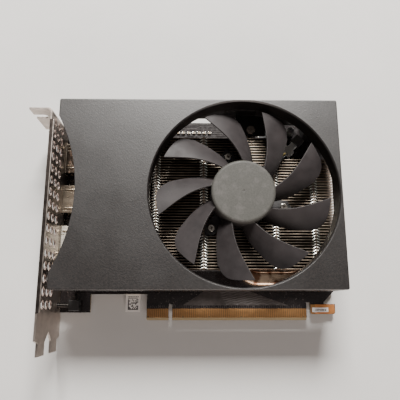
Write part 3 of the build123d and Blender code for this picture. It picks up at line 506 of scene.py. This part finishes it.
class Piece:
    """Collects shapes in card coordinates, in millimetres, into one mesh."""

    def __init__(self):
        self.bm = bmesh.new()

    def skin(self, rings, closed=True, caps=True):
        """Joins rings of points into a tube-like surface."""
        rows = [[self.bm.verts.new(p) for p in ring] for ring in rings]
        count = len(rows[0])
        for a, b in zip(rows, rows[1:]):
            for i in range(count if closed else count - 1):
                j = (i + 1) % count
                self.bm.faces.new((a[i], a[j], b[j], b[i]))
        if caps:
            self.bm.faces.new(list(reversed(rows[0])))
            self.bm.faces.new(rows[-1])

    def prism(self, points, z0, z1, taper=0.0):
        """A polygon in plan between two heights; the top may be drawn in by a taper."""
        cx = sum(p[0] for p in points) / len(points)
        cy = sum(p[1] for p in points) / len(points)
        top = []
        for x, y in points:
            reach = math.hypot(x - cx, y - cy) or 1.0
            keep = 1.0 - taper / reach
            top.append((cx + (x - cx) * keep, cy + (y - cy) * keep, z1))
        self.skin([[(x, y, z0) for x, y in points], top])

    def box(self, x, y, z, taper=0.0):
        """A block between pairs of limits; its top may be drawn in by a taper."""
        points = [(x[0], y[0]), (x[1], y[0]), (x[1], y[1]), (x[0], y[1])]
        self.prism(points, z[0], z[1], taper)

    def lathe(self, profile, centre, sides=20, axis="Z", ring=False):
        """A profile of (radius, height) turned about an axis; a ring's profile closes on itself."""
        if ring:
            profile = profile + profile[:1]
        rings = []
        for radius, height in profile:
            row = []
            for i in range(sides):
                turn = 2 * math.pi * i / sides
                a, b = radius * math.cos(turn), radius * math.sin(turn)
                offset = {"Z": (a, b, height), "X": (height, a, b), "Y": (b, height, a)}[axis]
                row.append(tuple(c + o for c, o in zip(centre, offset)))
            rings.append(row)
        self.skin(rings, caps=not ring)
        if ring:
            bmesh.ops.remove_doubles(self.bm, verts=self.bm.verts, dist=1e-5)

    def tube(self, path, radius, sides=8):
        """A round bar along a path of 3-D points."""
        points = [Vector(p) for p in path]
        rings = []
        up = Vector((0, 0, 1))
        for i, point in enumerate(points):
            along = (points[min(i + 1, len(points) - 1)] - points[max(i - 1, 0)]).normalized()
            side = along.cross(up)
            if side.length < 1e-4:
                side = along.cross(Vector((0, 1, 0)))
            side.normalize()
            rise = side.cross(along)
            rings.append([point + side * (radius * math.cos(2 * math.pi * k / sides))
                          + rise * (radius * math.sin(2 * math.pi * k / sides)) for k in range(sides)])
        self.skin(rings)

    def ribbon(self, path, width, z, height):
        """A flat raised line along a path in plan."""
        points = [Vector((x, y, 0)) for x, y in path]
        rings = []
        for i, point in enumerate(points):
            along = (points[min(i + 1, len(points) - 1)] - points[max(i - 1, 0)]).normalized()
            side = Vector((-along.y, along.x, 0)) * (width / 2)
            low, high = Vector((0, 0, z)), Vector((0, 0, z + height))
            rings.append([point - side + low, point - side * 0.8 + high,
                          point + side * 0.8 + high, point + side + low])
        self.skin(rings, closed=False, caps=False)

    def place(self, name, slot, material=None, smooth=35):
        """Turns the collected shapes into an object that rides on the card."""
        bmesh.ops.recalc_face_normals(self.bm, faces=self.bm.faces)
        for vert in self.bm.verts:
            vert.co = vert.co * MM + ORIGIN
        for face in self.bm.faces:
            face.smooth = True
        for edge in self.bm.edges:
            edge.smooth = len(edge.link_faces) == 2 and edge.calc_face_angle(0.0) < math.radians(smooth)
        mesh = bpy.data.meshes.new(name)
        self.bm.to_mesh(mesh)
        self.bm.free()
        mesh.materials.append(MATERIALS[material or slot])
        piece = bpy.data.objects.new(name, mesh)
        bpy.context.scene.collection.objects.link(piece)
        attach(piece, "card")


TRACK_HEIGHT = 0.035
SHEEN_PATCH_HEIGHT = 0.02
KEY_GAP = (10.8, 14.0)


def make_traces():
    """Raised tracks under the solder mask: length-matched pairs above the edge contacts, and fans of
    tracks in the areas the cooler leaves open."""
    piece = Piece()
    for index in range(CONTACT_COUNT):
        x = 1.2 + index * CONTACT_PITCH
        if not KEY_GAP[0] < x < KEY_GAP[1]:
            piece.ribbon([(x, 6.2), (x, 7.0 + 0.5 * (index % 3))], 0.3, 0, TRACK_HEIGHT)
    # A lighter patch whose outline follows the board's sheen above the contacts: painted sheen.
    piece.prism([(31.0, 15.4), (19.0, 7.6), (75.5, 7.6), (54.0, 15.4)], 0, SHEEN_PATCH_HEIGHT)
    waves = Piece()
    for row in range(6):
        y = 8.6 + row * 1.2
        first, last = 42.0 - 0.6 * row, 71.0 - 3.0 * row
        path = []
        while first < last:
            path.append((first, y + 0.38 * math.sin(first * 1.15 + row * 0.5)))
            first += 0.25
        waves.ribbon(path, 0.45, SHEEN_PATCH_HEIGHT, 0.05)
    # The ridges' lighter tone is partly a painted sheen.
    waves.place("length_matched_tracks", "board_mask", material="trace_ridge_and_sheen", smooth=60)
    for row in range(9):
        y = 98.3 + row * 1.35
        bend = random.uniform(18, 34)
        path = [(3, y), (bend, y), (bend + 2.0, y + 1.0),
                (50 - row, y + 1.0), (52 - row, y + 0.2), (62, y + 0.2)]
        piece.ribbon(path, 0.22, 0, TRACK_HEIGHT)
    for column in range(12):
        x = -33.5 + column * 0.9
        turn = random.uniform(35, 85)
        path = [(x, 20), (x, turn), (x + 1.2, turn + 1.2), (x + 1.2, 108)]
        piece.ribbon(path, 0.22, 0, TRACK_HEIGHT)
    piece.place("front_tracks", "board_mask", material="copper_trace_and_sheen", smooth=60)


def scattered(count, x, y):
    """Random spots between pairs of limits."""
    return [(random.uniform(*x), random.uniform(*y)) for _ in range(count)]


def make_vias():
    """Tented vias over both faces: small flat-topped rings."""
    piece = Piece()
    front = (scattered(70, (2, 84), (7, 15)) + scattered(60, (0, 64), (97.5, 110))
             + scattered(60, (-33, -24), (16, 108)) + scattered(30, (70, 84), (86, 110)))
    rear = scattered(240, (-42, 98), (16, 108))
    for spots, surface, rise in ((front, 0.0, 0.03), (rear, BOARD_BACK, -0.03)):
        for x, y in spots:
            piece.lathe([(0.32, 0), (0.28, rise), (0.14, rise), (0.10, 0)], (x, y, surface), 10)
    piece.place("tented_vias", "board_mask", material="copper_trace_and_sheen")


def islands(node):
    """The boxes of a node's separate solids, in card coordinates."""
    mesh = NODES[node].data
    bm = bmesh.new()
    bm.from_mesh(mesh)
    bmesh.ops.remove_doubles(bm, verts=bm.verts, dist=1e-6)
    seen = set()
    boxes = []
    for start in bm.verts:
        if start.index in seen:
            continue
        stack, group = [start], []
        seen.add(start.index)
        while stack:
            vert = stack.pop()
            group.append((vert.co - ORIGIN) / MM)
            for edge in vert.link_edges:
                other = edge.other_vert(vert)
                if other.index not in seen:
                    seen.add(other.index)
                    stack.append(other)
        low = Vector([min(p[i] for p in group) for i in range(3)])
        high = Vector([max(p[i] for p in group) for i in range(3)])
        boxes.append((low, high))
    bm.free()
    return boxes


def make_end_caps():
    """Tinned end caps and solder fillets of the ceramic capacitors."""
    piece = Piece()
    for low, high in islands("ceramic_capacitors"):
        along = 0 if high.x - low.x >= high.y - low.y else 1
        cap = 0.22 * (high[along] - low[along])
        over = 0.03
        outward = 1 if low.z > -0.5 else -1
        for end, sign in ((low[along], 1), (high[along], -1)):
            x, y = [low.x - over, high.x + over], [low.y - over, high.y + over]
            span = sorted((end - sign * over, end + sign * cap))
            (x, y)[along][:] = span
            z = (low.z, high.z + over) if outward == 1 else (low.z - over, high.z)
            piece.box(x, y, z, 0.05)
            foot = sorted((end - sign * 0.3, end + sign * 0.05))
            (x, y)[along][:] = foot
            base = low.z if outward == 1 else high.z
            rise = 0.45 * (high.z - low.z) * outward
            piece.prism([(x[0], y[0]), (x[1], y[0]), (x[1], y[1]), (x[0], y[1])], base, base + rise, 0.18)
    piece.place("capacitor_end_caps", "pin_metal")


def make_chip_leads():
    """Gull-wing leads of the small chips, and the power transistors' pads."""
    piece = Piece()
    for low, high in islands("controller_chips"):
        middle = (low.z + high.z) / 2
        count = int((high.y - low.y) / 0.65)
        for i in range(count):
            y = low.y + (i + 0.5) * (high.y - low.y) / count
            for edge, sign in ((low.x, -1), (high.x, 1)):
                path = [(edge, y, middle), (edge + sign * 0.25, y, middle), (edge + sign * 0.4, y, 0.12),
                        (edge + sign * 0.75, y, 0.10)]
                piece.tube(path, 0.11, 6)
    for low, high in islands("power_transistors"):
        for i in range(4):
            y = low.y + 0.8 + i * (high.y - low.y - 1.6) / 3
            piece.box((low.x - 0.35, low.x + 0.1), (y - 0.25, y + 0.25), (0, 0.25), 0.04)
        piece.box((high.x - 0.1, high.x + 0.35), (low.y + 0.4, high.y - 0.4), (0, 0.25), 0.04)
    for low, high in islands("power_chokes"):
        for y in (low.y + 1.2, high.y - 1.2):
            piece.box((low.x - 0.25, low.x + 0.1), (y - 0.8, y + 0.8), (0, 1.4), 0.05)
            piece.box((high.x - 0.1, high.x + 0.25), (y - 0.8, y + 0.8), (0, 1.4), 0.05)
    piece.place("chip_leads", "pin_metal")


RESISTOR_HALF = (0.45, 0.8)
RESISTOR_PITCH = 1.9
REAR_ROWS = (
    (-40, 30, 5), (-38, 52, 4), (-20, 88, 6), (-14, 34, 5), (8, 30, 6),
    (6, 92, 5), (70, 92, 5), (76, 70, 4), (78, 34, 6), (20, 18, 8),
    (46, 18, 7), (-2, 62, 5), (84, 50, 4), (-30, 70, 5), (60, 100, 4),
)


def make_rear_parts():
    """Resistors over the board's back, in short rows of (first X, first Y, how many) along X or Y."""
    bodies, caps = Piece(), Piece()

    def about(piece, centre, half, z, upright, taper=0.0):
        """A block about a centre, turned a quarter when its row is upright."""
        limits = [(c - h, c + h) for c, h in zip(centre, reversed(half) if upright else half)]
        piece.box(*limits, z, taper)

    for first_x, first_y, count in REAR_ROWS:
        upright = random.random() < 0.5
        for i in range(count):
            step = i * RESISTOR_PITCH
            x, y = (first_x, first_y + step) if upright else (first_x + step, first_y)
            z = (BOARD_BACK - 0.45, BOARD_BACK)
            about(bodies, (x, y), RESISTOR_HALF, z, upright)
            for end in (-0.68, 0.68):
                centre = (x + end, y) if upright else (x, y + end)
                about(caps, centre, (0.48, 0.18), (z[0] - 0.03, z[1]), upright, 0.04)
    bodies.place("rear_resistors", "chip_resin")
    caps.place("rear_end_caps", "pin_metal")


def make_solder_joints():
    """Solder cones behind the through-hole parts: sockets, ports and the fan header."""
    piece = Piece()
    spots = []
    for low, high in islands("power_socket_pins"):
        spots.append(((low.x + high.x) / 2, high.y - 7.5 - 0.8 * (low.z > 4), 0.9))
    for port in ("upper", "middle", "lower"):
        low, high = at_node(port + "_video_port")
        for x in (low.x + 3.5, high.x - 2.0):
            spots += [(x, low.y + 0.3, 0.9), (x, high.y - 0.3, 0.9)]
        for i in range(10):
            y = low.y + 2.5 + i * (high.y - low.y - 5.0) / 9
            spots += [(high.x + 0.3, y, 0.45), (high.x + 1.6, y, 0.45)]
    low, high = at_node("fan_header")
    middle = (low + high) / 2
    for i in range(4):
        step = (i - 1.5) * 1.25
        spots.append((middle.x - step * 0.72, middle.y + step * 0.69, 0.55))
    for x, y, radius in spots:
        piece.lathe([(radius, 0), (radius * 0.75, -0.18), (radius * 0.4, -0.55), (radius * 0.3, -0.95),
                     (radius * 0.12, -1.05)], (x, y, BOARD_BACK), 14)
    piece.place("solder_joints", "pin_metal")


def make_port_details():
    """Seams, latch springs and front flanges folded in the ports' shells."""
    piece = Piece()
    for port in ("upper", "middle", "lower"):
        low, high = at_node(port + "_video_port")
        width = high.y - low.y
        top = high.z
        for share in (0.16, 0.84):
            y = low.y + share * width
            piece.tube([(low.x + 1.8, y, top), (low.x + 2.6, y, top + 0.22), (low.x + 5.6, y, top + 0.34),
                        (low.x + 7.6, y, top + 0.05)], 0.42, 8)
        for share in (0.06, 0.26, 0.74, 0.94):
            y = low.y + share * width
            piece.tube([(low.x + 1.4, y, top - 0.02), (high.x - 0.5, y, top - 0.02)], 0.16, 6)
        flange_z = (low.z + 0.2, top + 0.35)
        piece.box((low.x + 0.95, low.x + 1.35), (low.y - 0.25, high.y + 0.25), flange_z, 0.05)
        piece.box((high.x - 0.6, high.x + 0.05), (low.y - 0.1, high.y + 0.1), (0.05, top + 0.06), 0.05)
        for y in (low.y - 0.15, high.y + 0.15):
            piece.box((low.x + 3.0, low.x + 4.2), (y - 0.2, y + 0.2), (0, 2.4), 0.02)
    piece.place("port_folds", "port_shell")


def make_vent_rims():
    """The bright sheared wall of every round vent in the bracket, with its turned burr: a brighter, pinker
    copy of the plate metal, partly bare metal and partly a painted highlight.
    """
    piece = Piece()
    wall = [(2.15, -0.78), (2.08, -0.78), (2.05, 0.0), (2.10, 0.04), (2.18, 0.04), (2.22, 0.0)]
    for row in range(VENT_ROWS):
        for z in VENT_COLUMNS_Z:
            piece.lathe(wall, (BRACKET_INNER, VENT_TOP_Y - row * VENT_PITCH, z), 24, "X", ring=True)
    piece.place("vent_rims", "nickel_plate", material="vent_wall_and_highlight")


def make_fin_clips():
    """The curled tongues where each fin hooks into the next, two to a clip, clear of the fan's posts."""
    piece = Piece()
    top = at_node("fin_stack")[1].z
    turns = [math.radians(angle) for angle in STANDOFF_ANGLES]
    posts = [(FAN_X + STANDOFF_R * math.cos(turn), FAN_Y + STANDOFF_R * math.sin(turn)) for turn in turns]
    for index in range(FIN_COUNT):
        y = FIN_START_Y + index * FIN_PITCH
        for x in FIN_CLIP_X:
            if x > FIN_CORNER[0] and y > FIN_CORNER[1]:
                continue
            if any(math.hypot(x - px, y - py) < 5.0 for px, py in posts):
                continue
            for side in (-1, 1):
                path = [(x + side * 1.95, y - 0.12, top - 0.1), (x + side * 1.5, y + 0.14, top + 0.05),
                        (x + side * 0.95, y + 0.46, top + 0.12), (x + side * 0.35, y + 0.78, top - 0.02)]
                piece.tube(path, 0.36, 8)
    # The clips take the brighter copy of the fin metal as a painted highlight.
    piece.place("fin_clips", "fin_aluminium", material="clip_painted_highlight")


INK_T = 0.012


def make_label_print():
    """Generic marks on the two stickers: a block pattern and rows of short bars, no lettering."""
    piece = Piece()
    low, high = at_node("flag_label")
    film = (high.z, high.z + INK_T)
    cell = 0.55
    left, bottom = low.x + 1.2, low.y + 1.1
    for column in range(10):
        for row in range(10):
            on_edge = column == 0 or row == 0
            if on_edge or random.random() < 0.42:
                x, y = left + column * cell, bottom + row * cell
                piece.box((x, x + cell * 0.96), (y, y + cell * 0.96), film)
    for row in range(2):
        x = left
        while x < left + 5.2:
            length = random.uniform(0.25, 0.7)
            y = bottom + 5.9 + row * 0.75
            piece.box((x, x + length), (y, y + 0.4), film)
            x += length + 0.22
    low, high = at_node("hook_label")
    x = low.x + 1.6
    while x < high.x - 1.0:
        width = random.uniform(0.12, 0.4)
        piece.box((x, x + width), (low.y + 0.6, high.y - 0.7), (high.z, high.z + INK_T))
        x += width + random.uniform(0.15, 0.35)
    piece.place("label_print", "label_paper", material="print_ink")


def make_bracket_washers():
    """Flat washers under the heads of the bracket's screws."""
    piece = Piece()
    for low, high in islands("bracket_screws"):
        y, z = (low.y + high.y) / 2, (low.z + high.z) / 2
        x = low.x + 1.5
        washer = [(2.05, -0.14), (2.75, -0.12), (2.8, -0.02), (2.05, 0.0)]
        piece.lathe(washer, (x, y, z), 28, "X", ring=True)
    piece.place("bracket_washers", "screw_black", material="black_oxide")


def make_screw_recesses():
    """Cross recesses in the fan's screws: a dark cross set into each recess as painted shade, and the
    head's worn rim.
    """
    cross, rim = Piece(), Piece()
    for low, high in islands("fan_screws"):
        x, y = (low.x + high.x) / 2, (low.y + high.y) / 2
        turn = random.uniform(0, 90)
        for quarter in range(2):
            angle = math.radians(turn + 90 * quarter)
            along = Vector((math.cos(angle), math.sin(angle), 0))
            side = Vector((-math.sin(angle), math.cos(angle), 0))
            points = [along * u * 0.95 + side * v * 0.26 for u, v in ((-1, -1), (1, -1), (1, 1), (-1, 1))]
            # The dark cross fills the recess: painted shade.
            cross.prism([(x + p.x, y + p.y) for p in points], high.z - 0.3, high.z + 0.004, 0.03)
        profile = [(1.16, -0.05), (1.12, 0.012), (1.0, 0.02), (0.96, -0.05)]
        rim.lathe(profile, (x, y, high.z), 28, ring=True)
    cross.place("screw_cross", "screw_bright", material="screw_black")
    rim.place("screw_cross_rim", "screw_bright")


def make_shroud_ribs():
    """Stiffening ribs under the shroud's top, and a skirt below its rear wall beside the screw ear."""
    piece = Piece()
    low, high = at_node("shroud")
    under = high.z - SHROUD_T
    depth = (under - 2.2, under + 0.1)
    for y in (24.0, 42.0, 62.0, 82.0, 100.0):
        left = HOLLOW_X + math.sqrt(HOLLOW_R ** 2 - (y - HOLLOW_Y) ** 2) + 1.0
        right = OPENING_X - math.sqrt((OPENING_R + 1.0) ** 2 - (y - OPENING_Y) ** 2) - 0.6
        piece.box((left, right), (y - 0.5, y + 0.5), depth, 0.15)
    for x in (-20.0, -8.0):
        piece.box((x - 0.5, x + 0.5), (low.y + 1.5, high.y - 1.5), depth, 0.15)
    piece.box(SKIRT_X, (high.y - 1.5, high.y - 0.1), SKIRT_Z, 0.15)
    piece.place("shroud_ribs", "shroud_paint")


make_traces()
make_vias()
make_end_caps()
make_chip_leads()
make_rear_parts()
make_solder_joints()
make_port_details()
make_vent_rims()
make_fin_clips()
make_label_print()
make_bracket_washers()
make_screw_recesses()
make_shroud_ribs()


# ---------------------------------------------------------------- camera, light and floor

def make_camera():
    """Camera about 250 mm above the card, a little in front of it and tilted back."""
    data = bpy.data.cameras.new("camera")
    data.lens = 41.24
    data.sensor_width = 36.0
    data.clip_start = 0.01
    data.clip_end = 20.0
    camera = bpy.data.objects.new("camera", data)
    camera.location = (0.00292, -0.04026, 0.25402)
    camera.rotation_euler = Euler([math.radians(a) for a in (12.957, -0.954, -0.022)])
    bpy.context.scene.collection.objects.link(camera)
    bpy.context.scene.camera = camera


def area_light(name, place, target, size, power, color):
    """A soft rectangular light that faces its target."""
    data = bpy.data.lights.new(name, "AREA")
    data.shape = "RECTANGLE"
    data.size, data.size_y = size
    data.energy = power
    data.color = color
    light = bpy.data.objects.new(name, data)
    light.location = place
    light.rotation_euler = (Vector(target) - Vector(place)).to_track_quat("-Z", "Y").to_euler()
    bpy.context.scene.collection.objects.link(light)


def make_floor():
    """Plain pale floor with a faint unevenness."""
    bpy.ops.mesh.primitive_plane_add(size=6)
    floor = bpy.context.object
    floor.name = "floor"
    s = Shader("floor_paint", (0.70, 0.69, 0.67), 0.7)
    s.set_color(s.shade(s.noise(0.02, 4), 0.98, 1.01))
    s.bump(s.noise(0.001, 3), 0.00003, 0.3)
    floor.data.materials.append(s.material)


def make_world(strength):
    """Even, faintly warm light from all round."""
    world = bpy.data.worlds.new("studio")
    world.use_nodes = True
    background = world.node_tree.nodes["Background"]
    background.inputs["Color"].default_value = (1.0, 0.93, 0.90, 1.0)
    background.inputs["Strength"].default_value = strength
    bpy.context.scene.world = world


make_camera()
make_floor()
make_world(0.125)
area_light("window", place=(0.04, 0.90, 0.86), target=(0, 0.02, 0), size=(0.5, 0.32),
           power=42.0, color=(1.0, 0.975, 0.94))
area_light("fill", place=(0.20, -1.15, 0.50), target=(0, 0, 0), size=(0.8, 0.6),
           power=10.0, color=(1.0, 0.88, 0.82))
